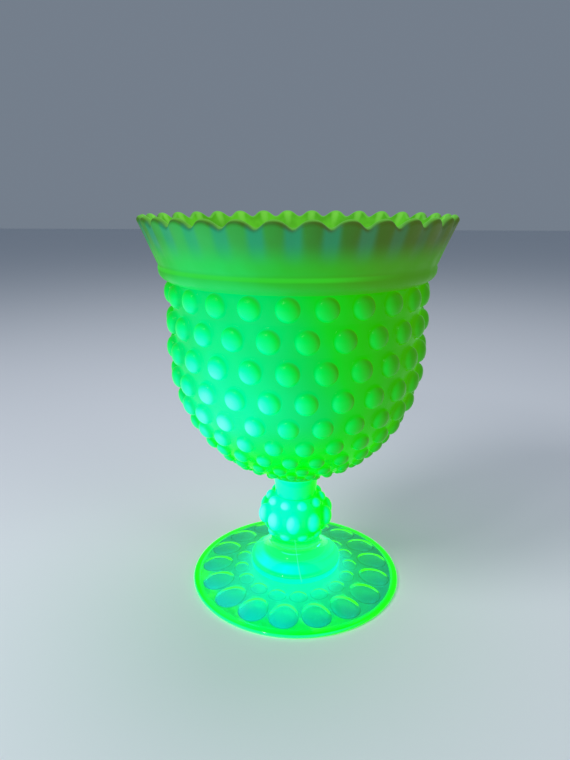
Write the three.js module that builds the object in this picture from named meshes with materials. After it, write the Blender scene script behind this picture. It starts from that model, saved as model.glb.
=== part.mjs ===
// Pressed glass footed dish: a hobnail bowl with a fluted, scalloped lip, on a knopped stem and a foot.
// Millimetres, +Z up. The origin is the centre of the circle that the dish stands on.
// A turn is an angle round the axis, counted from -Y towards +X. A tilt is the angle of a face's outward
// normal above the horizontal.
import * as THREE from "three";

// Overall sizes
const HEIGHT = 160;
const BOWL_RADIUS = 49.5;
const RIM_SPREAD = 12.3; // of the lip, past the bowl's wall
const FOOT_RADIUS = 46.5;

// Foot: a clear disc on a narrow resting ring, with round prints pressed up into its hollow underside
const FOOT_EDGE_HEIGHT = 1.7;
const FOOT_EDGE_ROUND = 0.7;
const FOOT_SEAT_HEIGHT = 6.6;
const FOOT_RING_WIDTH = 1.6;
const HOLLOW_AT_RING = 1.1;
const HOLLOW_AT_CENTRE = 3.6;
const PRINTS_ROUND = 17;
const PRINTS_TURN = THREE.MathUtils.degToRad(6.5);
// inset is from the foot's edge to the ring's circle, width a share of the distance between its prints
const INNER_PRINTS = { inset: 22, width: 0.87, length: 6.6, depth: 0.4 };
const OUTER_PRINTS = { inset: 10.8, width: 0.93, length: 14.2, depth: 0.6 };
const PRINT_CLEARANCE = 1;

// Stem: pad and waisted collar, ball knop, neck
const PAD_RADIUS = 20;
const PAD_EDGE = 2.9;
const PAD_SHOULDER = 0.5;
const COLLAR_RADIUS = 10.7;
const COLLAR_SWEEP = 3.8; // power of the curve from the pad up to the collar
const STEM_BASE_HEIGHT = 16;
const KNOP_RADIUS = 13.4;
const KNOP_HOBS_ROUND = 10;
// from and to are shares of the arc between collar and neck, width a share of the distance between hobs
const LOW_KNOP_HOBS = { from: 0.01, to: 0.23, width: 0.68, rise: 1.8 };
const BIG_KNOP_HOBS = { from: 0.27, to: 0.72, width: 0.78, rise: 3.4 };
const TOP_KNOP_HOBS = { from: 0.75, to: 0.98, width: 0.76, rise: 2.3 };
const NECK_RADIUS = 9.1;
const NECK_HEIGHT = 9.7;
const NECK_SPREAD = 1.6;
const NECK_SWEEP = 3; // power of the curve from the neck out to the bowl

// Bowl: a straight upper wall, and below its waist a quarter of an ellipse
const WALL = 3.6;
const FLOOR = 5;
const BOWL_CURVE_DEPTH = 57.6;
const BOSS_HEIGHT = 1.2;
const HOBS_ROUND = 24;
const LAST_ROW_RADIUS = 15;
const HOB_WIDTH = 0.68; // of the distance between hobs round the row, at the top row
const HOB_TAPER = 0.16;
const HOB_TALL = 1.05; // of the width
const HOB_ROW_GAP = 0.131; // of the same distance, between a row and the next
const HOB_RISE = 0.37; // of the width

// Lip: a plain rounded band over the groove at the bowl's top, then a fluted flare
const RIM_HEIGHT = 24.4;
const GROOVE_SPREAD = 1.3;
const BAND_SPREAD = 5.1;
const BAND_HEIGHT = 6.2;
const LIP_THICKNESS = 3.2;
const LIP_ROUND = 2.4;
const MOUTH_SWEEP = 1.2; // power of the curve inside the lip
const SCALLOPS = 32;
const SCALLOP_TURN = THREE.MathUtils.degToRad(7.8);
const SCALLOP_RISE = 1.3;
const FLUTE_DEPTH = 0.8;

// Fineness of the facets
const PLAIN_COLUMNS = 48;
const COLUMNS_PER_SCALLOP = 4;
const CURVE_STEPS = 6;
const WALK_STEPS = 200;

// The rings of a hob as [share of its width, share of its rise], and the directions of its six corners
const HOB_RINGS = [[1, 0], [0.7, 0.72]];
const HOB_CORNERS = [-150, -90, -30, 30, 90, 150].map(THREE.MathUtils.degToRad);

// Levels up the axis
const stemBaseTop = FOOT_SEAT_HEIGHT + STEM_BASE_HEIGHT;
const knopCentre = stemBaseTop + Math.sqrt(KNOP_RADIUS ** 2 - COLLAR_RADIUS ** 2);
const knopTop = knopCentre + Math.sqrt(KNOP_RADIUS ** 2 - NECK_RADIUS ** 2);
const bowlBottom = knopTop + NECK_HEIGHT;
const bowlWaist = bowlBottom + BOSS_HEIGHT + BOWL_CURVE_DEPTH;
const bowlTop = HEIGHT - RIM_HEIGHT;

// Radii that two pieces share
const neckTopRadius = NECK_RADIUS + NECK_SPREAD;
const boreRadius = BOWL_RADIUS - WALL;

// Distance between rows of hobs, of the distance between hobs round the row
const rowPitch = HOB_WIDTH * HOB_TALL + HOB_ROW_GAP;

const { lerp, clamp } = THREE.MathUtils;

// A plain body of revolution. The outline's [radius, height] points go up the outside and down the inside.
function turned(outline, columns, firstTurn = 0) {
  const profile = outline.map(([radius, height]) => new THREE.Vector2(radius, height));
  const geometry = new THREE.LatheGeometry(profile, columns, firstTurn);
  geometry.rotateX(Math.PI / 2);
  return geometry;
}

// A body of revolution with rows of hobs pressed into it, two columns of the net to a hob. The outline's
// { radius, height } points go as in turned. Where a point has hobs, that row fills the band up to the next
// point, and the point's staggered says whether the row starts half a hob round. A hob whose rise is below 0
// is a hollow.
class PressedGeometry extends THREE.BufferGeometry {
  constructor(outline, hobsRound) {
    super();
    this.columns = 2 * hobsRound;
    this.coordinates = [];
    this.faces = [];
    const rings = outline.map(({ radius, height }) => {
      const turns = Array.from({ length: this.columns }, (_, column) => this.turnOf(column));
      return turns.map((turn) => this.addVertex(turn, radius, height));
    });
    for (let row = 0; row < outline.length - 1; row += 1) {
      const { hobs, staggered } = outline[row];
      if (hobs) {
        this.fillWithHobs(rings[row], rings[row + 1], hobs, staggered ? 1 : 0);
      } else {
        this.fillStrip(rings[row], rings[row + 1]);
      }
    }
    this.setAttribute("position", new THREE.Float32BufferAttribute(this.coordinates, 3));
    this.setIndex(this.faces);
    this.computeVertexNormals();
  }

  turnOf(column) {
    return (column * 2 * Math.PI) / this.columns;
  }

  addVertex(turn, radius, height) {
    this.coordinates.push(radius * Math.sin(turn), -radius * Math.cos(turn), height);
    return this.coordinates.length / 3 - 1;
  }

  // Joins two closed loops of equal length.
  fillStrip(first, second) {
    first.forEach((corner, i) => {
      const next = (i + 1) % first.length;
      this.faces.push(corner, first[next], second[i], second[i], first[next], second[next]);
    });
  }

  fillWithHobs(below, above, hobs, firstColumn) {
    for (let middle = firstColumn; middle < this.columns; middle += 2) {
      const left = (middle + this.columns - 1) % this.columns;
      const right = (middle + 1) % this.columns;
      const sides = [left, middle, right];
      const edge = [...sides.map((i) => below[i]), ...sides.toReversed().map((i) => above[i])];
      this.addHob(edge, hobs, this.turnOf(middle));
    }
  }

  // One hob: rings of six corners that close on its crown, inside the edge of its cell.
  addHob(edge, { faceAt, width, tall, rise }, turn) {
    const crown = faceAt(0);
    const vertexAt = (across, along, lift) => {
      const { radius, height, tilt } = faceAt(along);
      const aside = turn + across / crown.radius;
      return this.addVertex(aside, radius + lift * Math.cos(tilt), height + lift * Math.sin(tilt));
    };
    let outer = edge;
    for (const [spread, liftShare] of HOB_RINGS) {
      const ring = HOB_CORNERS.map((corner) => {
        const across = (Math.cos(corner) * spread * width) / 2;
        const along = (Math.sin(corner) * spread * tall) / 2;
        return vertexAt(across, along, rise * liftShare);
      });
      this.fillStrip(outer, ring);
      outer = ring;
    }
    this.fillStrip(outer, new Array(outer.length).fill(vertexAt(0, 0, rise)));
  }
}

function footGeometry() {
  const edgeRadius = FOOT_RADIUS - FOOT_EDGE_ROUND;
  const ringInner = edgeRadius - FOOT_RING_WIDTH;
  const hollowRadius = ringInner - HOLLOW_AT_RING;
  const tilt = Math.atan2(-hollowRadius, HOLLOW_AT_CENTRE - HOLLOW_AT_RING);
  const underside = (radius) => {
    return { radius, height: lerp(HOLLOW_AT_CENTRE, HOLLOW_AT_RING, radius / hollowRadius), tilt };
  };
  const ringOf = ({ inset, width, length, depth }) => {
    const circle = FOOT_RADIUS - inset;
    const across = (width * 2 * Math.PI * circle) / PRINTS_ROUND;
    const hobs = { faceAt: (along) => underside(circle + along), width: across, tall: length, rise: -depth };
    return { inner: circle - length / 2, outer: circle + length / 2, hobs };
  };
  const inner = ringOf(INNER_PRINTS);
  const outer = ringOf(OUTER_PRINTS);
  const outline = [
    { radius: 0, height: HOLLOW_AT_CENTRE },
    { ...underside(inner.inner - PRINT_CLEARANCE), hobs: inner.hobs, staggered: false },
    { ...underside((inner.outer + outer.inner) / 2), hobs: outer.hobs, staggered: true },
    { radius: hollowRadius + HOLLOW_AT_RING / 2, height: HOLLOW_AT_RING },
    { radius: ringInner, height: 0 },
    { radius: edgeRadius, height: 0 },
    { radius: FOOT_RADIUS, height: FOOT_EDGE_HEIGHT / 2 },
    { radius: edgeRadius, height: FOOT_EDGE_HEIGHT },
    { radius: PAD_RADIUS, height: FOOT_SEAT_HEIGHT },
    { radius: 0, height: FOOT_SEAT_HEIGHT },
  ];
  return new PressedGeometry(outline, PRINTS_ROUND).rotateZ(PRINTS_TURN);
}

function stemBaseGeometry() {
  const padEdgeTop = FOOT_SEAT_HEIGHT + PAD_EDGE;
  const padTopRadius = PAD_RADIUS - PAD_SHOULDER;
  const outline = [[0, FOOT_SEAT_HEIGHT], [PAD_RADIUS, FOOT_SEAT_HEIGHT], [PAD_RADIUS, padEdgeTop]];
  for (let i = 0; i <= CURVE_STEPS; i += 1) {
    const share = i / CURVE_STEPS;
    const radius = lerp(COLLAR_RADIUS, padTopRadius, (1 - share) ** COLLAR_SWEEP);
    outline.push([radius, lerp(padEdgeTop + PAD_SHOULDER, stemBaseTop, share)]);
  }
  outline.push([0, stemBaseTop]);
  return turned(outline, PLAIN_COLUMNS);
}

function knopGeometry() {
  const collarTilt = -Math.acos(COLLAR_RADIUS / KNOP_RADIUS);
  const neckTilt = Math.acos(NECK_RADIUS / KNOP_RADIUS);
  const arcLength = KNOP_RADIUS * (neckTilt - collarTilt);
  const ball = (arc) => {
    const tilt = collarTilt + arc / KNOP_RADIUS;
    return { radius: KNOP_RADIUS * Math.cos(tilt), height: knopCentre + KNOP_RADIUS * Math.sin(tilt), tilt };
  };
  const row = ({ from, to, width, rise }) => {
    const arc = (arcLength * (from + to)) / 2;
    const across = (width * 2 * Math.PI * ball(arc).radius) / KNOP_HOBS_ROUND;
    return { faceAt: (along) => ball(arc + along), width: across, tall: arcLength * (to - from), rise };
  };
  const between = (below, above) => ball((arcLength * (below.to + above.from)) / 2);
  const outline = [
    { radius: 0, height: stemBaseTop },
    { radius: COLLAR_RADIUS, height: stemBaseTop, hobs: row(LOW_KNOP_HOBS), staggered: true },
    { ...between(LOW_KNOP_HOBS, BIG_KNOP_HOBS), hobs: row(BIG_KNOP_HOBS), staggered: false },
    { ...between(BIG_KNOP_HOBS, TOP_KNOP_HOBS), hobs: row(TOP_KNOP_HOBS), staggered: true },
    ball((arcLength * (TOP_KNOP_HOBS.to + 1)) / 2),
    { radius: NECK_RADIUS, height: knopTop },
    { radius: 0, height: knopTop },
  ];
  return new PressedGeometry(outline, KNOP_HOBS_ROUND);
}

function neckGeometry() {
  const outline = [[0, knopTop]];
  for (let i = 0; i <= CURVE_STEPS; i += 1) {
    const share = i / CURVE_STEPS;
    outline.push([NECK_RADIUS + NECK_SPREAD * share ** NECK_SWEEP, lerp(knopTop, bowlBottom, share)]);
  }
  outline.push([0, bowlBottom]);
  return turned(outline, PLAIN_COLUMNS);
}

// The bowl's plain outer face at an angle past the waist. speed is the distance down it per radian.
function bowlCurve(angle) {
  const inward = BOWL_RADIUS * Math.sin(angle);
  const downward = BOWL_CURVE_DEPTH * Math.cos(angle);
  return {
    radius: BOWL_RADIUS * Math.cos(angle),
    height: bowlWaist - BOWL_CURVE_DEPTH * Math.sin(angle),
    tilt: -Math.atan2(inward, downward),
    speed: Math.hypot(inward, downward),
  };
}

// The bowl's plain outer face at a distance down its outline from the top.
function bowlFace(down) {
  const straight = bowlTop - bowlWaist;
  if (down <= straight) {
    return { radius: BOWL_RADIUS, height: bowlTop - down, tilt: 0 };
  }
  let angle = 0;
  for (let i = 0; i < WALK_STEPS; i += 1) {
    angle += (down - straight) / WALK_STEPS / bowlCurve(angle).speed;
  }
  return bowlCurve(angle);
}

// The rows of hobs, from the top. Rows lie a set share of the hob pitch apart, so they draw together and
// shrink as the bowl narrows.
function bowlRows() {
  const rows = [];
  const pitchAt = (down) => (2 * Math.PI * bowlFace(down).radius) / HOBS_ROUND;
  const firstPitch = pitchAt(0);
  let down = (firstPitch * HOB_WIDTH * HOB_TALL) / 2;
  while (bowlFace(down).radius > LAST_ROW_RADIUS) {
    const centre = down;
    const pitch = pitchAt(centre);
    const width = pitch * (HOB_WIDTH - HOB_TAPER * (1 - pitch / firstPitch));
    const reach = pitch * rowPitch;
    down += pitchAt(centre + reach / 2) * rowPitch;
    rows.push({
      staggered: rows.length % 2 === 1,
      bottom: (centre + down) / 2,
      hobs: {
        faceAt: (along) => bowlFace(centre - along),
        width,
        tall: width * HOB_TALL,
        rise: width * HOB_RISE,
      },
    });
  }
  return rows;
}

function bowlGeometry() {
  const outline = [
    { radius: 0, height: bowlBottom },
    { radius: neckTopRadius, height: bowlBottom },
  ];
  for (const { bottom, hobs, staggered } of bowlRows().toReversed()) {
    outline.push({ ...bowlFace(bottom), hobs, staggered });
  }
  outline.push({ radius: BOWL_RADIUS, height: bowlTop }, { radius: boreRadius, height: bowlTop });
  const innerDepth = bowlWaist - bowlBottom - FLOOR;
  for (let i = 0; i <= CURVE_STEPS; i += 1) {
    const angle = ((Math.PI / 2) * i) / CURVE_STEPS;
    const radius = i < CURVE_STEPS ? boreRadius * Math.cos(angle) : 0;
    outline.push({ radius, height: bowlWaist - innerDepth * Math.sin(angle) });
  }
  return new PressedGeometry(outline, HOBS_ROUND);
}

// The lip's section turned, then its scallops: each vertex above the band moves out and up with the flutes,
// more towards the edge.
function rimGeometry() {
  const grooveRadius = BOWL_RADIUS + GROOVE_SPREAD;
  const bandRadius = BOWL_RADIUS + BAND_SPREAD;
  const bandTop = bowlTop + BAND_HEIGHT;
  const edgeTop = HEIGHT - SCALLOP_RISE;
  const edgeRadius = BOWL_RADIUS + RIM_SPREAD - FLUTE_DEPTH;
  const shoulder = edgeTop - LIP_ROUND;
  const onBand = (outward, upward) => {
    return [lerp(grooveRadius, bandRadius, outward), lerp(bowlTop, bandTop, upward)];
  };
  const flare = (share) => [lerp(bandRadius, edgeRadius, share), lerp(bandTop, shoulder, share)];
  const mouth = (share) => {
    const outward = share ** MOUTH_SWEEP;
    return [lerp(boreRadius, edgeRadius - LIP_THICKNESS, outward), lerp(bowlTop, shoulder, share)];
  };
  const section = [
    [boreRadius, bowlTop],
    onBand(0, 0),
    onBand(0.75, 0.25),
    onBand(1, 0.6),
    flare(0),
    flare(0.5),
    flare(1),
    [edgeRadius - LIP_THICKNESS / 2, edgeTop],
    mouth(1),
    mouth(0.6),
    mouth(0.3),
    [boreRadius, bowlTop],
  ];
  const geometry = turned(section, SCALLOPS * COLUMNS_PER_SCALLOP, SCALLOP_TURN);
  const position = geometry.getAttribute("position");
  const vertex = new THREE.Vector3();
  for (let i = 0; i < position.count; i += 1) {
    vertex.fromBufferAttribute(position, i);
    const share = clamp((vertex.z - bandTop) / (edgeTop - bandTop), 0, 1);
    const turn = Math.atan2(vertex.x, -vertex.y);
    const wave = share * Math.cos(SCALLOPS * (turn - SCALLOP_TURN));
    const grow = 1 + (FLUTE_DEPTH * wave) / Math.hypot(vertex.x, vertex.y);
    position.setXYZ(i, vertex.x * grow, vertex.y * grow, vertex.z + SCALLOP_RISE * wave);
  }
  geometry.computeVertexNormals();
  return geometry;
}

function glassPiece(name, geometry, color, roughness) {
  const material = new THREE.MeshStandardMaterial({ color, roughness, metalness: 0 });
  const mesh = new THREE.Mesh(geometry, material);
  mesh.name = name;
  return mesh;
}

const dish = new THREE.Group();
dish.add(
  glassPiece("foot", footGeometry(), 0x20d890, 0.05),
  glassPiece("stem_base", stemBaseGeometry(), 0x10e860, 0.06),
  glassPiece("hobnail_knop", knopGeometry(), 0x10f0b0, 0.15),
  glassPiece("bowl_neck", neckGeometry(), 0x10e8a0, 0.12),
  glassPiece("bowl", bowlGeometry(), 0x12dc70, 0.2),
  glassPiece("flared_rim", rimGeometry(), 0x4f9a50, 0.25),
);

export default dish;
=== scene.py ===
"""A pressed uranium glass dish: hobnail bowl, fluted lip, knopped stem and clear foot.

Metres, +Z up, in the CAD model's frame. A turn is an angle round the axis, counted from -Y towards +X.
"""

import bisect
import math

import bpy
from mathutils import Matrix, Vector


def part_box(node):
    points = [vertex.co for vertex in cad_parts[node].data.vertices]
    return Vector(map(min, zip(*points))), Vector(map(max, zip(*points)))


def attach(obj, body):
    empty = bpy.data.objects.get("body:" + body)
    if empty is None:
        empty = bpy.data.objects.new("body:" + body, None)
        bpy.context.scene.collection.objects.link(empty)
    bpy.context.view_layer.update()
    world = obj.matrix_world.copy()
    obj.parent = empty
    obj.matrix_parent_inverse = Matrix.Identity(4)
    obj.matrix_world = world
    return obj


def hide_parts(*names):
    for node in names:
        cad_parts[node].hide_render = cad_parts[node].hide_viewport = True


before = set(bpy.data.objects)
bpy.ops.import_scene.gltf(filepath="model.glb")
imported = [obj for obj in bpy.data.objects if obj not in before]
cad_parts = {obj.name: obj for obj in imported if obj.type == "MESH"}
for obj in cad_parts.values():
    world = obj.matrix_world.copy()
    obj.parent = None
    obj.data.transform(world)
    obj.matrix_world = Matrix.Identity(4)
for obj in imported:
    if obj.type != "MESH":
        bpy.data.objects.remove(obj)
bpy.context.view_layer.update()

MM = 0.001
TAU = 2 * math.pi
ON_AXIS = 1e-9
UP = (0.0, 0.0, 1.0)

# The hobs of the bowl
HOBS_ROUND = 24
HOB_WIDTH = 0.68  # of the distance between hobs, at the top row
HOB_TAPER = 0.16
HOB_TALL = 1.05  # of the width
HOB_RISE = 0.37  # of the width
ROW_PITCH = 0.845  # of the distance between hobs
LAST_ROW_RADIUS = 15 * MM

# The bowl
WALL = 3.6 * MM
FLOOR = 5 * MM
BOSS_HEIGHT = 1.2 * MM
BOTTOM_SWEEP = 1.6  # how late the bottom turns up from the neck to the last row
WAIST_SHARE = 0.6875  # of the bowl's height, up from its bottom

# The hobs of the knop: each row's share of the ball's arc, and of the distance between hobs
KNOP_HOBS_ROUND = 10
KNOP_ROWS = (
    {"low": 0.01, "high": 0.23, "width": 0.68, "rise": 1.8 * MM, "staggered": True},
    {"low": 0.27, "high": 0.72, "width": 0.78, "rise": 3.4 * MM, "staggered": False},
    {"low": 0.75, "high": 0.98, "width": 0.76, "rise": 2.3 * MM, "staggered": True},
)
KNOP_ROW_MARGIN = 0.03  # of the ball's arc, over the top row
KNOP_RADIUS = 13.4 * MM
COLLAR_RADIUS = 10.7 * MM
NECK_RADIUS = 9.1 * MM

# Stem base
PAD_EDGE = 2.9 * MM
PAD_SHOULDER = 0.5 * MM
COLLAR_SWEEP = 3.8
COLLAR_STEPS = 30
STEM_COLUMNS = 192
SEAM_COLUMNS = (0, 64, 128)  # the mould's three seams
SEAM_TURN_LOW = math.radians(12)
SEAM_TURN_HIGH = math.radians(1.5)
SEAM_RISE = 0.2 * MM

# Foot
PRINTS_ROUND = 17
PRINTS_TURN = math.radians(6.5)
PRINT_RINGS = (
    {"inset": 22 * MM, "width": 0.87, "length": 6.6 * MM, "depth": 0.28 * MM, "staggered": False},
    {"inset": 10.8 * MM, "width": 0.93, "length": 14.2 * MM, "depth": 0.5 * MM, "staggered": True},
)
PRINT_MARGIN = 1 * MM
FOOT_EDGE_HEIGHT = 1.7 * MM
FOOT_RING_WIDTH = 1.6 * MM
RING_BEVEL = 0.3 * MM
RING_BEVEL_HEIGHT = 0.25 * MM
HOLLOW_AT_RING = 1.1 * MM
HOLLOW_AT_CENTRE = 3.6 * MM

# Lip
SCALLOPS = 32
SCALLOP_COLUMNS = 12
SCALLOP_TURN = math.radians(7.8)
SCALLOP_RISE = 1.3 * MM
SCALLOP_FULLNESS = 0.14
FLUTE_DEPTH = 0.8 * MM
LIP_THICKNESS = 3.2 * MM
BAND_HEIGHT = 6.2 * MM
BAND_SPREAD = 5.1 * MM
BAND_FULL = 0.62  # of the band's height, where it has swollen out of the groove
BAND_BULGE = 0.1 * MM
BAND_STEP = 0.15 * MM
GROOVE_SPREAD = 1.3 * MM

# Fused faces: the clear pad stands a hair off the clear foot, and the milky knop reaches into the collar
FUSED_GAP = 0.02 * MM
FUSED_DEPTH = 0.3 * MM

# Camera
CAMERA_DISTANCE = 250.6 * MM
CAMERA_HEIGHT = 166.8 * MM
CAMERA_TURN = math.radians(3.3)
CAMERA_YAW = math.radians(4.4)
CAMERA_PITCH = math.radians(16.56)
CAMERA_LENS = 29.37

# Fineness: columns along half the width of a hob's cell, steps up its side, and rings up the hob's dome
HALF_EDGE = 3
SIDE = 6
DOME_STEPS = 6

# The rings of a hob and of a print, as (share of its width, share of its rise)
HOB_FILLET = ((1.13, 0.0), (1.04, 0.03), (0.985, 0.12))
DOME_SQUARENESS = 0.92
DISH_RINGS = ((1.0, 0.0), (0.97, 0.1), (0.93, 0.25), (0.86, 0.5), (0.79, 0.73), (0.71, 0.89), (0.58, 0.96),
              (0.3, 1.0))


def mix(a, b, share):
    return a + (b - a) * share


def reach(node):
    """How far a CAD node reaches from the axis."""
    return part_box(node)[1].x


def low(node):
    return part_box(node)[0].z


def high(node):
    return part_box(node)[1].z


# Sizes that follow from the CAD model
BOWL_RADIUS = reach("bowl") / (1 + HOB_RISE * HOB_WIDTH * TAU / HOBS_ROUND)
BOWL_WAIST = mix(low("bowl"), high("bowl"), WAIST_SHARE)
KNOP_CENTRE = low("hobnail_knop") + math.sqrt(KNOP_RADIUS ** 2 - COLLAR_RADIUS ** 2)


def arc_points(centre, radii, start, end, steps):
    """Points (radius, height) of an ellipse's arc, by angles in degrees above the horizontal."""
    points = []
    for i in range(steps + 1):
        angle = math.radians(mix(start, end, i / steps))
        points.append((centre[0] + radii[0] * math.cos(angle), centre[1] + radii[1] * math.sin(angle)))
    return points


def dome_rings():
    """A small fillet, and a dome over it."""
    width, foot = HOB_FILLET[-1]
    rings = list(HOB_FILLET)
    for step in range(1, DOME_STEPS):
        bend = math.pi / 2 * step / DOME_STEPS
        rings.append((width * math.cos(bend) ** DOME_SQUARENESS, mix(foot, 1, math.sin(bend))))
    return rings


class Outline:
    """A curve [(radius, height), ...] along the outside of a turned form, walked by distance."""

    def __init__(self, points):
        self.points = points
        self.lengths = [0.0]
        for a, b in zip(points, points[1:]):
            self.lengths.append(self.lengths[-1] + math.dist(a, b))
        self.length = self.lengths[-1]

    def at(self, distance):
        """(radius, height, outward and upward shares of the normal) at a distance along the curve."""
        distance = min(max(distance, 0.0), self.length)
        i = min(bisect.bisect_right(self.lengths, distance) - 1, len(self.points) - 2)
        share = (distance - self.lengths[i]) / (self.lengths[i + 1] - self.lengths[i])
        (r0, z0), (r1, z1) = self.points[i], self.points[i + 1]
        size = math.hypot(r1 - r0, z1 - z0)
        return mix(r0, r1, share), mix(z0, z1, share), (z1 - z0) / size, -(r1 - r0) / size

    def point(self, distance):
        return self.at(distance)[:2]


class Net:
    """A mesh of rings round the axis, joined by plain strips or by rows of hobs. Rings go up the outside."""

    def __init__(self, columns, first_turn=0.0):
        self.columns = columns
        self.first_turn = first_turn
        self.vertices = []
        self.faces = []
        self.crown = []  # how far up its hob each vertex is, from 0 to 1

    def vertex(self, turn, radius, height, crown=0.0):
        turn += self.first_turn
        self.vertices.append((radius * math.sin(turn), -radius * math.cos(turn), height))
        self.crown.append(crown)
        return len(self.vertices) - 1

    def ring(self, radius, height):
        if radius < ON_AXIS:
            return [self.vertex(0, 0, height)]
        return [self.vertex(TAU * i / self.columns, radius, height) for i in range(self.columns)]

    def rings(self, section, ring=None):
        """Goes on from a ring through rings at points (radius, height), and returns the last."""
        for radius, height in section:
            new = self.ring(radius, height)
            if ring:
                self.strip(ring, new)
            ring = new
        return ring

    def raise_vertex(self, index, rise):
        """Moves a vertex out from the axis and marks it as a crown."""
        x, y, z = self.vertices[index]
        grow = 1 + rise / math.hypot(x, y)
        self.vertices[index] = (x * grow, y * grow, z)
        self.crown[index] = 1.0

    def strip(self, below, above):
        count = max(len(below), len(above))
        for i in range(count):
            j = (i + 1) % count
            if len(below) == 1:
                self.faces.append((below[0], above[j], above[i]))
            elif len(above) == 1:
                self.faces.append((below[i], below[j], above[0]))
            else:
                self.faces.append((below[i], below[j], above[j], above[i]))

    def hob_row(self, below, above, outline, start, end, centre, size, staggered, shape):
        """Fills the band between two rings, at distances start and end of the outline, with hobs."""
        steps = [mix(start, end, k / SIDE) for k in range(1, SIDE)]
        sides = {}
        for column in range(0 if staggered else HALF_EDGE, self.columns, 2 * HALF_EDGE):
            turn = TAU * column / self.columns
            sides[column] = [self.vertex(turn, *outline.point(distance)) for distance in steps]
        arc = TAU * outline.at(centre)[0] / self.columns
        edge = HALF_EDGE * arc
        columns = range(-HALF_EDGE, HALF_EDGE + 1)
        for middle in range(HALF_EDGE if staggered else 0, self.columns, 2 * HALF_EDGE):
            left = sides[(middle - HALF_EDGE) % self.columns]
            right = sides[(middle + HALF_EDGE) % self.columns]
            loop = [(below[(middle + k) % self.columns], k * arc, start) for k in columns]
            loop += [(index, edge, distance) for index, distance in zip(right, steps)]
            loop += [(above[(middle + k) % self.columns], k * arc, end) for k in reversed(columns)]
            loop += [(index, -edge, distance) for index, distance in zip(reversed(left), reversed(steps))]
            self.hob(loop, outline, TAU * middle / self.columns, centre, size, shape)

    def hob(self, loop, outline, turn, centre, size, shape):
        """Fills a loop [(vertex, place across, distance up the outline), ...] with one hob."""
        width, tall, rise = size
        outer = [index for index, _, _ in loop]
        angles = [math.atan2((distance - centre) / tall, across / width) for _, across, distance in loop]
        radius, height, out, up = outline.at(centre)
        crown = radius + rise * out, height + rise * up
        for spread, lift in shape:
            inner = []
            for angle in angles:
                across = math.cos(angle) * spread * width / 2
                along = math.sin(angle) * spread * tall / 2
                r, z, out, up = outline.at(centre + along)
                raised = rise * lift
                inner.append(self.vertex(turn + across / radius, r + raised * out, z + raised * up, lift))
            self.strip(outer, inner)
            outer = inner
        self.strip(outer, [self.vertex(turn, *crown, 1.0)])

    def object(self, name, material):
        mesh = bpy.data.meshes.new(name)
        mesh.from_pydata(self.vertices, [], self.faces)
        mesh.attributes.new("crown", "FLOAT", "POINT").data.foreach_set("value", self.crown)
        mesh.polygons.foreach_set("use_smooth", [True] * len(mesh.polygons))
        mesh.materials.append(material)
        mesh.validate()
        piece = bpy.data.objects.new(name, mesh)
        bpy.context.scene.collection.objects.link(piece)
        return piece


# ---------------------------------------------------------------- pieces


def bowl_rows(outside):
    """The rows of hobs from the top down, as (start, end, centre, size, staggered) along the outline."""

    def pitch_at(distance):
        return TAU * outside.at(distance)[0] / HOBS_ROUND

    rows = []
    end = outside.length
    first_pitch = pitch_at(end)
    centre = end - first_pitch * HOB_WIDTH * HOB_TALL / 2
    staggered = False
    while outside.at(centre)[0] > LAST_ROW_RADIUS:
        pitch = pitch_at(centre)
        width = pitch * (HOB_WIDTH - HOB_TAPER * (1 - pitch / first_pitch))
        lower = centre - pitch_at(centre - pitch * ROW_PITCH / 2) * ROW_PITCH
        start = (centre + lower) / 2
        rows.append((start, end, centre, (width, width * HOB_TALL, width * HOB_RISE), staggered))
        centre, end, staggered = lower, start, not staggered
    return rows


def bowl_net():
    bottom, top = low("bowl"), high("bowl")
    curve = (BOWL_RADIUS, BOWL_WAIST - bottom - BOSS_HEIGHT)
    hollow = (BOWL_RADIUS - WALL, BOWL_WAIST - bottom - FLOOR)
    outside = Outline([*arc_points((0, BOWL_WAIST), curve, -89, 0, 240), (BOWL_RADIUS, top)])
    rows = bowl_rows(outside)
    neck = reach("bowl_neck")
    last_radius, last_height = outside.point(rows[-1][0])

    net = Net(2 * HOBS_ROUND * HALF_EDGE)
    section = [(0, bottom), (neck / 2, bottom), (neck, bottom)]
    section += [(mix(neck, last_radius, share), mix(bottom, last_height, share ** BOTTOM_SWEEP))
                for share in (0.3, 0.65, 1)]
    ring = net.rings(section)
    for start, end, centre, size, staggered in reversed(rows):
        above = net.ring(*outside.point(end))
        net.hob_row(ring, above, outside, start, end, centre, size, staggered, dome_rings())
        ring = above
    net.rings([(BOWL_RADIUS - WALL, top), *arc_points((0, BOWL_WAIST), hollow, 0, -90, 40)], ring)
    return net


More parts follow.
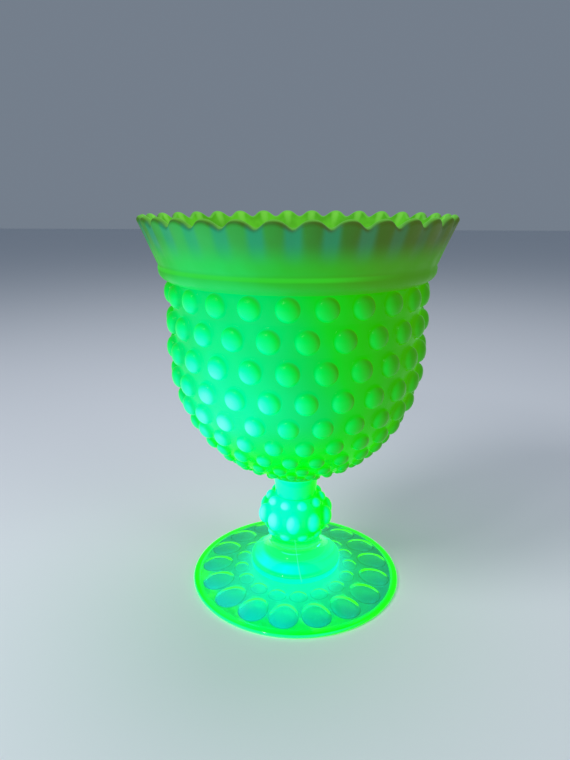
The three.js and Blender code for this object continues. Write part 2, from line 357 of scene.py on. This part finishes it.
def rim_net():
    bottom, top = low("flared_rim"), high("flared_rim")
    bore = BOWL_RADIUS - WALL
    groove = BOWL_RADIUS + GROOVE_SPREAD
    band = BOWL_RADIUS + BAND_SPREAD
    band_top = bottom + BAND_HEIGHT
    edge_top = top - SCALLOP_RISE
    edge = reach("flared_rim") - FLUTE_DEPTH
    lip = LIP_THICKNESS / 2
    shoulder = edge_top - lip

    # the plain band swells out of the groove, and the flare leaves it with a small step
    section = [(bore, bottom), (groove, bottom)]
    section += [(mix(groove, band, math.sin(math.pi / 2 * t)), bottom + BAND_FULL * BAND_HEIGHT * t ** 1.3)
                for t in (0.12, 0.28, 0.45, 0.65, 0.85, 1)]
    section += [(band + BAND_BULGE, mix(bottom, band_top, 0.8)), (band - BAND_STEP, band_top)]
    section += [(mix(band, edge, t ** 1.05), mix(band_top, shoulder, t))
                for t in (0.08, 0.18, 0.3, 0.42, 0.54, 0.66, 0.78, 0.88, 0.96)]
    section += arc_points((edge - lip, shoulder), (lip, lip), 0, 180, 10)
    section += [(mix(edge - LIP_THICKNESS, bore, t ** 0.9), mix(shoulder, bottom, t))
                for t in (0.06, 0.14, 0.24, 0.36, 0.48, 0.6, 0.72, 0.84, 0.93)]

    net = Net(SCALLOPS * SCALLOP_COLUMNS)
    rings = []
    for radius, height in section:
        share = min(max((height - band_top) / (edge_top - band_top), 0), 1)
        ring = []
        for i in range(net.columns):
            turn = TAU * i / net.columns
            swing = SCALLOPS * (turn - SCALLOP_TURN)
            wave = (math.cos(swing) + SCALLOP_FULLNESS * (1 - math.cos(2 * swing))) * share
            crown = wave / 2 + 0.5
            ring.append(net.vertex(turn, radius + FLUTE_DEPTH * wave, height + SCALLOP_RISE * wave, crown))
        rings.append(ring)
    for ring, following in zip(rings, rings[1:] + rings[:1]):
        net.strip(ring, following)
    return net


def knop_net():
    bottom, top = low("hobnail_knop"), high("hobnail_knop")
    sunk = bottom - FUSED_DEPTH
    start = -math.degrees(math.acos(COLLAR_RADIUS / KNOP_RADIUS))
    end = math.degrees(math.acos(NECK_RADIUS / KNOP_RADIUS))
    ball = Outline(arc_points((0, KNOP_CENTRE), (KNOP_RADIUS, KNOP_RADIUS), start, end, 120))
    between = [(first["high"] + second["low"]) / 2 for first, second in zip(KNOP_ROWS, KNOP_ROWS[1:])]
    edges = [ball.length * share for share in (0, *between, KNOP_ROWS[-1]["high"] + KNOP_ROW_MARGIN)]

    net = Net(2 * KNOP_HOBS_ROUND * HALF_EDGE)
    ring = net.rings([(0, sunk), (COLLAR_RADIUS - FUSED_DEPTH, sunk), (COLLAR_RADIUS, bottom)])
    for row, begin, finish in zip(KNOP_ROWS, edges, edges[1:]):
        middle = ball.length * (row["low"] + row["high"]) / 2
        tall = ball.length * (row["high"] - row["low"])
        width = row["width"] * TAU * ball.at(middle)[0] / KNOP_HOBS_ROUND
        size = (width, tall, row["rise"])
        above = net.ring(*ball.point(finish))
        net.hob_row(ring, above, ball, begin, finish, middle, size, row["staggered"], dome_rings())
        ring = above
    net.rings([(NECK_RADIUS, top), (0, top)], ring)
    return net


def neck_net():
    bottom, top = low("bowl_neck"), high("bowl_neck")
    spread = reach("bowl_neck") - NECK_RADIUS
    section = [(0, bottom)]
    section += [(NECK_RADIUS + spread * t ** 3, mix(bottom, top, t)) for t in [i / 12 for i in range(13)]]
    section += [(0, top)]
    net = Net(96)
    net.rings(section)
    return net


def stem_base_net():
    bottom, top = low("stem_base"), high("stem_base")
    pad = reach("stem_base")
    edge_top = bottom + PAD_EDGE
    seat = bottom + FUSED_GAP
    section = [(0, seat), (pad, seat), (pad, bottom + PAD_EDGE / 2)]
    section += arc_points((pad - PAD_SHOULDER, edge_top), (PAD_SHOULDER, PAD_SHOULDER), 0, 75, 6)
    for i in range(1, COLLAR_STEPS + 1):
        t = (i / COLLAR_STEPS) ** 1.5
        radius = mix(COLLAR_RADIUS, pad - PAD_SHOULDER, (1 - t) ** COLLAR_SWEEP)
        section.append((radius, mix(edge_top + PAD_SHOULDER, top, t)))
    section += [(0, top)]

    net = Net(STEM_COLUMNS)
    ring = None
    for radius, height in section:
        net.first_turn = mix(SEAM_TURN_LOW, SEAM_TURN_HIGH, (height - bottom) / (top - bottom))
        ring = net.rings([(radius, height)], ring)
        if radius > 0 and height > seat:
            for column in SEAM_COLUMNS:
                net.raise_vertex(ring[column], SEAM_RISE)
    return net


def foot_net():
    top = high("foot")
    radius = reach("foot")
    pad = reach("stem_base")
    edge = FOOT_EDGE_HEIGHT / 2
    ring_outer = radius - edge * 0.8
    ring_inner = ring_outer - FOOT_RING_WIDTH
    hollow = ring_inner - HOLLOW_AT_RING
    slope = Outline([(0.1 * MM, HOLLOW_AT_CENTRE), (hollow, HOLLOW_AT_RING)])
    inner, outer = PRINT_RINGS
    inner_centre = radius - inner["inset"]
    outer_centre = radius - outer["inset"]
    edges = (inner_centre - inner["length"] / 2 - PRINT_MARGIN,
             (inner_centre + inner["length"] / 2 + outer_centre - outer["length"] / 2) / 2,
             hollow - 0.1 * MM)

    net = Net(2 * PRINTS_ROUND * HALF_EDGE, PRINTS_TURN)
    ring = net.rings([(0, HOLLOW_AT_CENTRE), slope.point(edges[0])])
    for prints, centre, begin, finish in zip(PRINT_RINGS, (inner_centre, outer_centre), edges, edges[1:]):
        width = prints["width"] * TAU * centre / PRINTS_ROUND
        size = (width, prints["length"], -prints["depth"])
        above = net.ring(*slope.point(finish))
        net.hob_row(ring, above, slope, begin, finish, centre, size, prints["staggered"], DISH_RINGS)
        ring = above
    section = [(hollow, HOLLOW_AT_RING), (ring_inner - RING_BEVEL, RING_BEVEL_HEIGHT), (ring_inner, 0),
               (ring_outer, 0)]
    section += arc_points((radius - edge, edge), (edge, edge), -70, 80, 12)
    section += [(mix(radius - edge, pad, t), mix(FOOT_EDGE_HEIGHT, top, t)) for t in (0.1, 0.35, 0.7, 1)]
    section += [(0, top)]
    net.rings(section, ring)
    return net


# ---------------------------------------------------------------- materials

# Painted light: the place of an ultraviolet lamp that is not in the scene. The glass's glow, with its painted
# light and shade, is painted by how near the glass is to this place and how it faces it
PAINTED_UV_LAMP = (-0.064, -0.108, 0.073)
UV_REACH = 75 * MM  # where the painted glow is full
UV_WRAP = 1.0  # how far the painted light creeps round into the glass
BOWL_SQUASH = 0.74  # how much less the bowl's curve tilts than a ball's
FAR_WALL = (-0.2, -0.98, 0.0)  # the way that the far walls of the prints face, where painted light is put as if they caught the lamp

# Ripples that the mould leaves on milky glass
RIPPLE = 0.5
RIPPLE_RISE = 0.15 * MM

# Where a painted glow colour, painted highlight or painted shade starts and where it is full, as heights
# above the bottom of its node
DEEP_GROOVES = (39.8 * MM, 18.8 * MM)
FLUTES = (8.4 * MM, 17.9 * MM)
# The band's bright line, a painted highlight, lies between these heights
HIGHLIGHT_LINE_LOWER = (4.3 * MM, 5.2 * MM)
HIGHLIGHT_LINE_UPPER = (6.6 * MM, 5.7 * MM)
MOUTH = (0.4 * MM, 10.4 * MM)
LIP = (19.4 * MM, 20.9 * MM)
COLLAR = (5.2 * MM, 6.6 * MM)
PAD_RIM = (4.0 * MM, 3.5 * MM)
PAD_WALL = (2.7 * MM, 2.2 * MM)

# The same on the foot, as distances from the axis
NEAR_PAD = (28 * MM, 21 * MM)
OUTER_PRINTS = (35 * MM, 41 * MM)
FOOT_RIM = (43.6 * MM, 44.4 * MM)
BRINK = (45.9 * MM, 46.3 * MM)

# Painted glow colours in sRGB bytes, by how strongly the painted lamp would excite the glass: painted light
# where the glass is near the lamp and faces it, painted shade where it faces away
# The lowest hob stop paints hobs facing away from the lamp a little lighter than the grooves, so that they
# read as raised: painted light
HOB_GLOW = {
    0.0: (84, 178, 46), 0.06: (60, 134, 15), 0.15: (50, 150, 20), 0.22: (44, 178, 35), 0.3: (25, 205, 50),
    0.4: (0, 228, 75), 0.5: (0, 246, 112), 0.6: (0, 252, 145), 0.72: (10, 254, 190), 0.82: (60, 253, 225),
    0.95: (120, 254, 250),
}
GROOVE_GLOW = {
    0.08: (60, 158, 0), 0.15: (45, 168, 0), 0.22: (35, 188, 10), 0.3: (20, 206, 35), 0.4: (0, 212, 80),
    0.55: (0, 228, 118), 0.7: (0, 244, 142), 0.82: (0, 252, 170), 1.0: (60, 250, 200),
}
DEEP_GLOW = {
    0.08: (50, 200, 10), 0.25: (20, 220, 15), 0.4: (0, 248, 10), 0.6: (0, 254, 56), 0.8: (4, 250, 130),
}
BAND_GLOW = {
    0.1: (64, 128, 10), 0.2: (63, 142, 15), 0.3: (50, 166, 25), 0.4: (40, 184, 45), 0.5: (35, 206, 80),
    0.6: (30, 222, 104),
}
PEAK_GLOW = {
    0.1: (66, 84, 22), 0.2: (60, 92, 24), 0.3: (52, 112, 36), 0.4: (50, 148, 56), 0.5: (50, 178, 84),
}
VALLEY_GLOW = {
    0.1: (64, 84, 42), 0.2: (56, 108, 72), 0.3: (42, 128, 88), 0.4: (36, 146, 104), 0.5: (40, 170, 110),
}
STEM_GLOW = {
    0.08: (15, 240, 0), 0.19: (0, 250, 30), 0.28: (0, 253, 130), 0.36: (0, 255, 200), 0.5: (40, 255, 235),
    0.6: (115, 255, 255),
}
PAD_GLOW = {
    0.14: (0, 130, 30), 0.2: (0, 170, 60), 0.27: (0, 200, 120), 0.32: (0, 220, 205), 0.35: (0, 210, 130),
    0.38: (0, 200, 40),
}
FOOT_GLOW = {0.1: (0, 0, 0), 0.2: (0, 60, 45), 0.3: (0, 110, 118), 0.38: (0, 140, 160)}
EDGE_GLOW = {0.1: (20, 150, 0), 0.25: (5, 180, 0), 0.35: (0, 180, 10), 0.42: (0, 180, 60)}


def linear(red, green, blue):
    """A colour for a shader, from sRGB bytes."""
    return tuple((c / 255) ** 2.2 for c in (red, green, blue))


# Colours of the painted glow, with painted light, painted highlights and painted shade
NO_GLOW = linear(0, 0, 0)
COLLAR_GREEN = linear(0, 225, 0)
NEAR_PAD_GLOW = linear(0, 100, 135)
BRINK_GLOW = linear(0, 200, 150)
PAD_WALL_GLOW = linear(0, 190, 150)
PAD_RIM_SHADE = linear(0, 90, 20)
LIT_PATCH_GREEN = linear(100, 220, 0)
LIT_WALL_GREEN = linear(140, 235, 0)
SEAM_GREEN = linear(60, 240, 150)
HIGHLIGHT_LINE_GREEN = linear(55, 225, 40)
INSIDE_GREEN = linear(88, 188, 34)
INSIDE_DARK = linear(72, 158, 22)
INSIDE_CREST_HIGHLIGHT = linear(130, 220, 80)
MOUTH_GREEN = linear(45, 165, 8)
LIP_HIGHLIGHT_GREEN = linear(100, 185, 62)

# What the clear glass lets through, as shares of red, green and blue
CLEAR_TINT = (0.05, 0.84, 0.82)
# The outline tint darkens thin outlines round the prints: painted shade
OUTLINE_SHADE_TINT = (0.0, 0.35, 0.25)
# The edge tint makes the foot's rim, and the gaps between the prints where the painted lamp is near, greener:
# painted light
EDGE_TINT = (0.02, 0.9, 0.25)
PAD_TINT = (0.1, 1.0, 0.5)


class Shader:
    """A node material and short ways to add to it."""

    def __init__(self, name):
        self.material = bpy.data.materials.new(name)
        self.material.use_nodes = True
        self.nodes = self.material.node_tree.nodes
        self.links = self.material.node_tree.links
        self.principled = self.nodes["Principled BSDF"]
        self.output = self.nodes["Material Output"]

    def add(self, kind, **settings):
        node = self.nodes.new(kind)
        for key, value in settings.items():
            setattr(node, key, value)
        return node

    def link(self, source, target):
        self.links.new(source, target)

    def set(self, **values):
        for key, value in values.items():
            self.principled.inputs[key.replace("_", " ")].default_value = value

    def span(self, value, start, end, first=0.0, last=1.0):
        """Goes smoothly from first to last as the value goes from start to end."""
        node = self.add("ShaderNodeMapRange", interpolation_type="SMOOTHSTEP")
        self.link(value, node.inputs["Value"])
        for name, number in (("From Min", start), ("From Max", end), ("To Min", first), ("To Max", last)):
            node.inputs[name].default_value = number
        return node.outputs["Result"]

    def math(self, operation, a, b=None):
        node = self.add("ShaderNodeMath", operation=operation)
        for socket, value in zip(node.inputs, (a, b)):
            if isinstance(value, (int, float)):
                socket.default_value = value
            elif value is not None:
                self.link(value, socket)
        return node.outputs[0]

    def times(self, first, *others):
        for other in others:
            first = self.math("MULTIPLY", first, other)
        return first

    def vector(self, operation, a, b=None):
        node = self.add("ShaderNodeVectorMath", operation=operation)
        for socket, value in zip(node.inputs, (a, b)):
            if isinstance(value, tuple):
                socket.default_value = value
            elif value is not None:
                self.link(value, socket)
        return node.outputs["Value" if operation in ("DOT_PRODUCT", "LENGTH") else "Vector"]

    def blend(self, share, a, b):
        """A colour between a and b, each a colour or a socket."""
        node = self.add("ShaderNodeMix", data_type="RGBA")
        self.link(share, node.inputs[0])
        for socket, value in ((node.inputs[6], a), (node.inputs[7], b)):
            if isinstance(value, tuple):
                socket.default_value = (*value, 1)
            else:
                self.link(value, socket)
        return node.outputs[2]

    def ramp(self, value, stops):
        """A colour ramp through {place: (red, green, blue) in sRGB bytes}."""
        node = self.add("ShaderNodeValToRGB")
        elements = node.color_ramp.elements
        while len(elements) < len(stops):
            elements.new(0.5)
        for element, (place, colour) in zip(elements, stops.items()):
            element.position = place
            element.color = (*linear(*colour), 1)
        self.link(value, node.inputs["Fac"])
        return node.outputs["Color"]

    def place(self):
        """The place in the object's own coordinates."""
        return self.add("ShaderNodeTexCoord").outputs["Object"]

    def place_parts(self):
        """Sockets X, Y and Z of the place."""
        separate = self.add("ShaderNodeSeparateXYZ")
        self.link(self.place(), separate.inputs[0])
        return separate.outputs

    def noise(self, scale):
        node = self.add("ShaderNodeTexNoise")
        node.inputs["Scale"].default_value = scale
        node.inputs["Detail"].default_value = 3
        self.link(self.place(), node.inputs["Vector"])
        return node.outputs["Fac"]

    def crown(self):
        return self.add("ShaderNodeAttribute", attribute_name="crown").outputs["Fac"]

    def up_node(self, node, heights):
        """0 to 1 between two heights above the bottom of a CAD node."""
        start, end = heights
        return self.span(self.place_parts()["Z"], low(node) + start, low(node) + end)

    def off_axis(self, distances):
        """0 to 1 between two distances from the axis."""
        x, y, _ = self.place_parts()
        squares = self.math("ADD", self.math("POWER", x, 2.0), self.math("POWER", y, 2.0))
        return self.span(self.math("SQRT", squares), *distances)

    def normal(self):
        return self.add("ShaderNodeNewGeometry").outputs["Normal"]

    def facing(self, direction):
        """How far the surface faces a direction, from -1 to 1."""
        return self.vector("DOT_PRODUCT", self.normal(), direction)

    def outward(self):
        """How far the surface faces away from the axis, from -1 to 1."""
        away = self.vector("MULTIPLY", self.place(), (1.0, 1.0, 0.0))
        return self.facing(self.vector("NORMALIZE", away))

    def side(self):
        """1 on the outside of a surface and -1 on its inside, where its normal is turned round."""
        inside = self.add("ShaderNodeNewGeometry").outputs["Backfacing"]
        return self.math("SUBTRACT", 1.0, self.math("MULTIPLY", inside, 2.0))

    def body_normal(self, centre, squash, lowest, highest):
        """The normal of a plain ball or bowl round a centre on the axis, as if it had no hobs."""
        x, y, z = self.place_parts()
        rise = self.math("SUBTRACT", z, centre)
        rise = self.math("MINIMUM", self.math("MAXIMUM", rise, lowest), highest)
        combine = self.add("ShaderNodeCombineXYZ")
        for source, target in zip((x, y, self.math("MULTIPLY", rise, squash)), combine.inputs):
            self.link(source, target)
        return self.vector("NORMALIZE", combine.outputs[0])

    def lamp_share(self, normal=None):
        """How strongly the painted ultraviolet lamp lights the glass here, for painted light and shade: 1
        where it is near and faced.
        """
        way = self.vector("SUBTRACT", PAINTED_UV_LAMP, self.place())
        facing = self.vector("DOT_PRODUCT", self.vector("NORMALIZE", way), normal or self.normal())
        wrapped = self.math("DIVIDE", self.math("ADD", facing, UV_WRAP), 1 + UV_WRAP)
        near = self.math("POWER", self.math("DIVIDE", UV_REACH, self.vector("LENGTH", way)), 2.0)
        return self.times(near, self.math("MAXIMUM", wrapped, 0.0))

    def clouded_share(self, normal=None):
        """The painted lamp's share in milky glass, a little uneven."""
        return self.times(self.lamp_share(normal), self.span(self.noise(45), 0.3, 0.7, 0.94, 1.05))


def bowl_paint(shader):
    """Painted light and shade: the grooves glow as the plain bowl would by the painted lamp, and the crowns
    of the hobs by the way they really face it.
    """
    body = shader.clouded_share(shader.body_normal(BOWL_WAIST, BOWL_SQUASH, -1.0, 0.0))
    deep = shader.up_node("bowl", DEEP_GROOVES)
    groove = shader.blend(deep, shader.ramp(body, GROOVE_GLOW), shader.ramp(body, DEEP_GLOW))
    crown = shader.ramp(shader.clouded_share(), HOB_GLOW)
    return shader.blend(shader.span(shader.crown(), 0.15, 0.75), groove, crown)


def rim_paint(shader):
    """Painted glow with painted light and shade: a green band under dull flutes with bluish valleys, a
    painted highlight line at the band's step, a mottled yellow-green inside with painted crest highlights,
    and a lighter lip, a painted highlight."""
    # The flutes' peaks and valleys and the band glow by the painted lamp's share: painted light and shade
    share = shader.clouded_share()
    peaks = shader.span(shader.crown(), 0.3, 0.8)
    flutes = shader.blend(peaks, shader.ramp(share, VALLEY_GLOW), shader.ramp(share, PEAK_GLOW))
    outside = shader.blend(shader.up_node("flared_rim", FLUTES), shader.ramp(share, BAND_GLOW), flutes)
    # A painted highlight line at the band's step, brighter where the painted lamp is near
    line = shader.times(shader.up_node("flared_rim", HIGHLIGHT_LINE_LOWER), shader.up_node("flared_rim", HIGHLIGHT_LINE_UPPER))
    line = shader.times(line, shader.span(share, 0.12, 0.3, 0.0, 0.45))
    outside = shader.blend(line, outside, HIGHLIGHT_LINE_GREEN)

    # The inside's painted glow: mottled at random, and darker towards the bottom of the inside
    inside = shader.blend(shader.span(shader.noise(90), 0.35, 0.65), INSIDE_DARK, INSIDE_GREEN)
    # Painted highlight on the crests of the flutes inside
    inside = shader.blend(shader.span(shader.crown(), 0.75, 1.0, 0.0, 0.6), inside, INSIDE_CREST_HIGHLIGHT)
    inside = shader.blend(shader.up_node("flared_rim", MOUTH), MOUTH_GREEN, inside)
    paint = shader.blend(shader.span(shader.outward(), 0.1, -0.3), outside, inside)

    # Painted highlight: the lip is lighter where it faces up
    lip = shader.span(shader.facing(UP), 0.45, 0.9, 0.0, 0.75)
    return shader.blend(shader.times(lip, shader.up_node("flared_rim", LIP)), paint, LIP_HIGHLIGHT_GREEN)


def neck_paint(shader):
    # Painted light and shade by the painted lamp's share
    return shader.ramp(shader.clouded_share(), STEM_GLOW)


def knop_paint(shader):
    body = shader.clouded_share(shader.body_normal(KNOP_CENTRE, 1.0, -1.0, 1.0))
    # The crowns of the hobs take half as much again of the painted lamp: painted light
    crowns = shader.math("MULTIPLY", shader.clouded_share(), 1.5)
    return shader.blend(shader.span(shader.crown(), 0.3, 0.95), shader.ramp(body, STEM_GLOW),
                        shader.ramp(crowns, STEM_GLOW))


def foot_paint(shader):
    """Painted glow and tint of the foot, with painted light and shade: teal inside, green at the edge and
    between the prints, yellow-green painted light where the far walls of the prints face the lamp, and thin
    dark outlines of painted shade round the prints."""
    share = shader.lamp_share()
    crown = shader.crown()
    green = shader.ramp(share, EDGE_GLOW)
    upward = shader.times(shader.facing(UP), shader.side())
    underside = shader.span(upward, 0.2, -0.2)

    glow = shader.blend(shader.off_axis(NEAR_PAD), shader.ramp(share, FOOT_GLOW), NEAR_PAD_GLOW)
    # Painted light: the underside between the outer prints glows green where the painted lamp is near
    gap = shader.times(shader.span(crown, 0.03, 0.0), shader.off_axis(OUTER_PRINTS))
    gap = shader.times(gap, underside, shader.span(share, 0.17, 0.26))
    glow = shader.blend(gap, glow, green)
    # Painted light: yellow-green patches between the outer prints, placed at random where the painted lamp is
    # near
    lit_patches = shader.times(gap, shader.span(shader.noise(60), 0.5, 0.56), shader.span(share, 0.24, 0.32))
    glow = shader.blend(lit_patches, glow, LIT_PATCH_GREEN)

    # Painted light: the far walls of the prints on the underside glow yellow-green, as if they caught the
    # lamp
    caught = shader.span(shader.times(shader.facing(FAR_WALL), shader.side()), 0.09, 0.15)
    caught = shader.times(caught, underside, shader.span(crown, 0.02, 0.08))
    glow = shader.blend(caught, glow, LIT_WALL_GREEN)

    glow = shader.blend(underside, NO_GLOW, glow)
    # Painted light: the foot's rim glows green by the painted lamp's share
    rim = shader.off_axis(FOOT_RIM)
    glow = shader.blend(rim, glow, green)
    # Painted light: a turquoise glow round the very edge where the painted lamp is near
    brink = shader.times(shader.off_axis(BRINK), shader.span(share, 0.15, 0.3))
    glow = shader.blend(brink, glow, BRINK_GLOW)

    # Painted shade: thin dark outlines round the prints, in the tint
    outline = shader.times(shader.span(crown, 0.0, 0.02), shader.span(crown, 0.3, 0.15), underside)
    tint = shader.blend(outline, CLEAR_TINT, OUTLINE_SHADE_TINT)
    return glow, shader.blend(shader.math("MAXIMUM", rim, gap), tint, EDGE_TINT)


def pad_paint(shader):
    """Painted glow and tint of the stem base, with painted light and shade: turquoise on the pad's face,
    green up the collar, a dark line of painted shade on the pad's rim, pale on the seams.
    """
    face = shader.ramp(shader.lamp_share(), PAD_GLOW)
    glow = shader.blend(shader.up_node("stem_base", COLLAR), face, COLLAR_GREEN)
    # Painted shade: a dark line along the pad's rim
    glow = shader.blend(shader.up_node("stem_base", PAD_RIM), glow, PAD_RIM_SHADE)
    glow = shader.blend(shader.up_node("stem_base", PAD_WALL), glow, PAD_WALL_GLOW)
    # Painted light: the raised seams glow paler
    seam = shader.span(shader.crown(), 0.45, 0.9)
    return shader.blend(seam, glow, SEAM_GREEN), PAD_TINT


def glow_material(name, paint, base, roughness):
    """Milky glass that shines by painted light standing in for fluorescence, with painted light and shade,
    painted by paint(shader).
    """
    shader = Shader(name)
    shader.link(paint(shader), shader.principled.inputs["Emission Color"])
    shader.set(Base_Color=(*base, 1), IOR=1.5, Specular_IOR_Level=0.15, Emission_Strength=0.96)
    uneven = shader.span(shader.noise(120), 0.3, 0.7, 0.8 * roughness, 1.3 * roughness)
    shader.link(uneven, shader.principled.inputs["Roughness"])
    ripple = shader.add("ShaderNodeBump")
    ripple.inputs["Strength"].default_value = RIPPLE
    ripple.inputs["Distance"].default_value = RIPPLE_RISE
    shader.link(shader.noise(180), ripple.inputs["Height"])
    shader.link(ripple.outputs["Normal"], shader.principled.inputs["Normal"])
    return shader.material


def clear_material(name, paint, absorb, density, glow, strength):
    """Clear tinted glass whose whole body is given a painted glow, standing in for fluorescence, so it is
    brightest where it is seen deepest.
    """
    shader = Shader(name)
    surface_glow, tint = paint(shader)
    shader.link(surface_glow, shader.principled.inputs["Emission Color"])
    if isinstance(tint, tuple):
        shader.set(Base_Color=(*tint, 1))
    else:
        shader.link(tint, shader.principled.inputs["Base Color"])
    shader.set(Roughness=0.0, IOR=1.5, Transmission_Weight=1.0, Emission_Strength=1.0)
    absorption = shader.add("ShaderNodeVolumeAbsorption")
    absorption.inputs["Color"].default_value = (*absorb, 1)
    absorption.inputs["Density"].default_value = density
    emission = shader.add("ShaderNodeEmission")
    emission.inputs["Color"].default_value = (*glow, 1)
    emission.inputs["Strength"].default_value = strength
    both = shader.add("ShaderNodeAddShader")
    shader.link(absorption.outputs[0], both.inputs[0])
    shader.link(emission.outputs[0], both.inputs[1])
    shader.link(both.outputs[0], shader.output.inputs["Volume"])
    return shader.material


def floor_material():
    shader = Shader("pale_floor")
    shader.set(Base_Color=(0.74, 0.77, 0.82, 1), Roughness=0.7)
    return shader.material


opal = glow_material("opal_glass", bowl_paint, base=(0.0, 0.05, 0.0), roughness=0.25)
rim_opal = glow_material("rim_glass", rim_paint, base=(0.01, 0.04, 0.01), roughness=0.42)
knop = glow_material("knop_glass", knop_paint, base=(0.0, 0.08, 0.03), roughness=0.12)
neck = glow_material("neck_glass", neck_paint, base=(0.0, 0.08, 0.03), roughness=0.12)
clear = clear_material(
    "clear_glass", foot_paint, absorb=(0.0, 0.95, 0.75), density=100, glow=(0.16, 1.0, 0.0), strength=50)
pad = clear_material(
    "pad_glass", pad_paint, absorb=(0.0, 0.93, 0.62), density=80, glow=(0.0, 1.0, 0.1), strength=5)

pieces = (
    ("foot", foot_net, clear, "clear_glass"),
    ("stem_base", stem_base_net, pad, "clear_glass"),
    ("hobnail_knop", knop_net, knop, "stem_glass"),
    ("bowl_neck", neck_net, neck, "stem_glass"),
    ("bowl", bowl_net, opal, "opal_glass"),
    ("flared_rim", rim_net, rim_opal, "rim_glass"),
)
for node, make_net, material, slot in pieces:
    piece = make_net().object(node + "_glass", material)
    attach(piece, "root")
    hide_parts(node)


# ---------------------------------------------------------------- studio

FLOOR_HALF_SIDE = 3.0


def area_light(name, place, aim, size, power, glossy=False):
    """A soft round lamp. Only a glossy one is mirrored in the glass."""
    data = bpy.data.lights.new(name, "AREA")
    data.shape = "DISK"
    data.size = size
    data.energy = power
    light = bpy.data.objects.new(name, data)
    light.visible_glossy = glossy
    light.location = place
    light.rotation_euler = (Vector(aim) - Vector(place)).to_track_quat("-Z", "Y").to_euler()
    bpy.context.scene.collection.objects.link(light)


def floor_piece():
    mesh = bpy.data.meshes.new("floor")
    side = FLOOR_HALF_SIDE
    corners = [(-side, -side, 0), (side, -side, 0), (side, side, 0), (-side, side, 0)]
    mesh.from_pydata(corners, [], [(0, 1, 2, 3)])
    mesh.materials.append(floor_material())
    floor = bpy.data.objects.new("floor", mesh)
    bpy.context.scene.collection.objects.link(floor)


floor_piece()
area_light("key", (-0.5, -0.35, 0.6), aim=(0, 0, 0.08), size=0.3, power=3)
area_light("glint", (-0.25, -0.4, 0.5), aim=(0, 0, 0.05), size=0.07, power=0.3, glossy=True)
area_light("fill", (0.6, -0.4, 0.4), aim=(0, 0, 0.08), size=0.3, power=0.8)
area_light("top", (0.1, 0.3, 0.9), aim=(0, 0, 0.05), size=0.7, power=2.5)

world = bpy.data.worlds.new("studio")
world.use_nodes = True
background = world.node_tree.nodes["Background"]
background.inputs["Color"].default_value = (0.35, 0.42, 0.52, 1)
background.inputs["Strength"].default_value = 0.5
bpy.context.scene.world = world
bpy.context.scene.view_settings.view_transform = "Standard"

camera = bpy.data.objects.new("camera", bpy.data.cameras.new("camera"))
camera.location = (
    CAMERA_DISTANCE * math.sin(CAMERA_TURN),
    -CAMERA_DISTANCE * math.cos(CAMERA_TURN),
    CAMERA_HEIGHT,
)
camera.rotation_euler = (math.pi / 2 - CAMERA_PITCH, 0, CAMERA_YAW)
camera.data.lens = CAMERA_LENS
camera.data.sensor_width = 36
bpy.context.scene.collection.objects.link(camera)
bpy.context.scene.camera = camera
